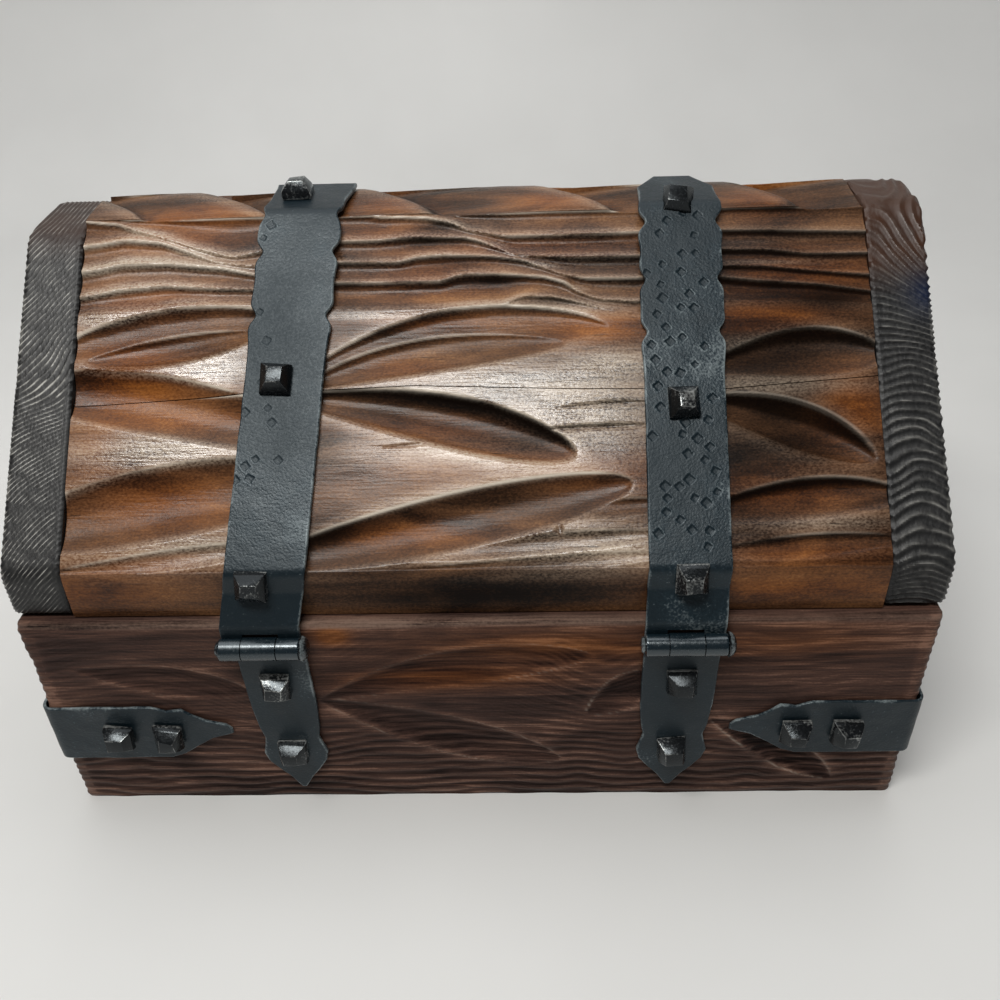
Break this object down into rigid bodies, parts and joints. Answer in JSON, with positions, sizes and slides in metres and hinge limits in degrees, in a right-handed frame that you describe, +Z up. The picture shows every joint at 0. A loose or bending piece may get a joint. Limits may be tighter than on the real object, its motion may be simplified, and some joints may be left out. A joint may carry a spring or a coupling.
{
  "type": "treasure chest",
  "caption": "Carved wooden treasure chest with a hipped lid, black iron strap hinges, corner bands, nails and a folding hasp.",
  "frame": {"origin": "centre of the underside of the base", "axes": "+X along the length of the chest, +Y towards the hinged back, +Z up"},
  "size_m": [0.3094, 0.2317, 0.1918],
  "materials": {
    "carved_wood": "hand-carved, stained orange-brown, satin varnish",
    "base_wood": "darker red-brown stain, satin varnish, brushed grain",
    "charred_wood": "blackened, brushed, low sheen",
    "black_iron": "forged, speckled charcoal paint with worn edges"
  },
  "bodies": {
    "base": {"back_left_corner_band": "black_iron", "back_left_corner_band_end_nail_1": "black_iron", "back_left_corner_band_end_nail_2": "black_iron", "back_left_corner_band_nail_1": "black_iron", "back_left_corner_band_nail_2": "black_iron", "back_right_corner_band": "black_iron", "back_right_corner_band_end_nail_1": "black_iron", "back_right_corner_band_end_nail_2": "black_iron", "back_right_corner_band_nail_1": "black_iron", "back_right_corner_band_nail_2": "black_iron", "base_back_board": "base_wood", "base_bottom_board": "base_wood", "base_front_board": "base_wood", "base_left_end_board": "base_wood", "base_right_end_board": "base_wood", "front_left_corner_band": "black_iron", "front_left_corner_band_end_nail_1": "black_iron", "front_left_corner_band_end_nail_2": "black_iron", "front_left_corner_band_nail_1": "black_iron", "front_left_corner_band_nail_2": "black_iron", "front_right_corner_band": "black_iron", "front_right_corner_band_end_nail_1": "black_iron", "front_right_corner_band_end_nail_2": "black_iron", "front_right_corner_band_nail_1": "black_iron", "front_right_corner_band_nail_2": "black_iron", "left_base_leaf": "black_iron", "left_base_leaf_nail_1": "black_iron", "left_base_leaf_nail_2": "black_iron", "left_hinge_pin": "black_iron", "right_base_leaf": "black_iron", "right_base_leaf_nail_1": "black_iron", "right_base_leaf_nail_2": "black_iron", "right_hinge_pin": "black_iron", "staple": "black_iron", "staple_plate": "black_iron", "staple_plate_nail_1": "black_iron", "staple_plate_nail_2": "black_iron"},
    "lid": {"hasp_bar_nail_1": "black_iron", "hasp_bar_nail_2": "black_iron", "hasp_pin": "black_iron", "hasp_strap": "black_iron", "hasp_tongue_nail": "black_iron", "left_lid_strap": "black_iron", "left_ridge_nail": "black_iron", "left_slope_nail": "black_iron", "left_upright_nail": "black_iron", "lid_back_lower_board": "carved_wood", "lid_back_upper_board": "carved_wood", "lid_front_lower_board": "carved_wood", "lid_front_upper_board": "carved_wood", "lid_left_cap": "charred_wood", "lid_ridge_board": "carved_wood", "lid_right_cap": "charred_wood", "right_lid_strap": "black_iron", "right_ridge_nail": "black_iron", "right_slope_nail": "black_iron", "right_upright_nail": "black_iron"},
    "hasp": {"hasp": "black_iron"}
  },
  "joints": [
    {"name": "lid_hinge", "type": "hinge", "parent": "base", "child": "lid", "pos_m": [0, 0.10905, 0.079], "axis": [-1, 0, 0], "range_deg": [0, 162]},
    {"name": "hasp_hinge", "type": "hinge", "parent": "lid", "child": "hasp", "pos_m": [0, -0.10535, 0.10652], "axis": [1, 0, 0], "range_deg": [0, 227]}
  ]
}
